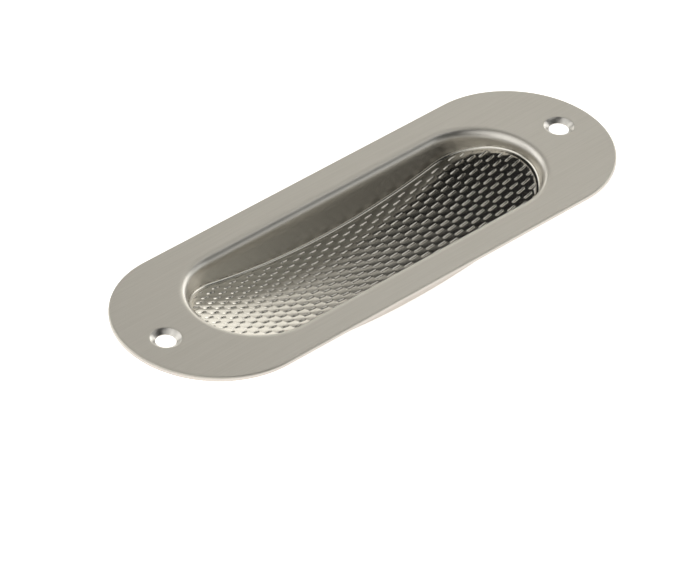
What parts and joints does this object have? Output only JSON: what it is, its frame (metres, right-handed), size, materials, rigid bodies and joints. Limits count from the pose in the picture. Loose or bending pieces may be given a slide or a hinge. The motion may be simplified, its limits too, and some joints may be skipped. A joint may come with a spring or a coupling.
{
  "type": "pocket door pull",
  "caption": "Flush stadium-shaped pull pressed from one steel sheet, with a deep arched finger recess, a stepped grip texture on its floor and countersunk screw holes at both ends.",
  "frame": {"origin": "midpoint between the two screw holes, on the back face of the flange", "axes": "+X along the plate, through both screw holes; +Z out of the door, towards the hand"},
  "size_m": [0.15, 0.05, 0.0125],
  "materials": {
    "stainless": "brushed along its length on the flange, satin in the recess"
  },
  "bodies": {
    "root": {"flush_pull": "stainless"}
  },
  "joints": []
}
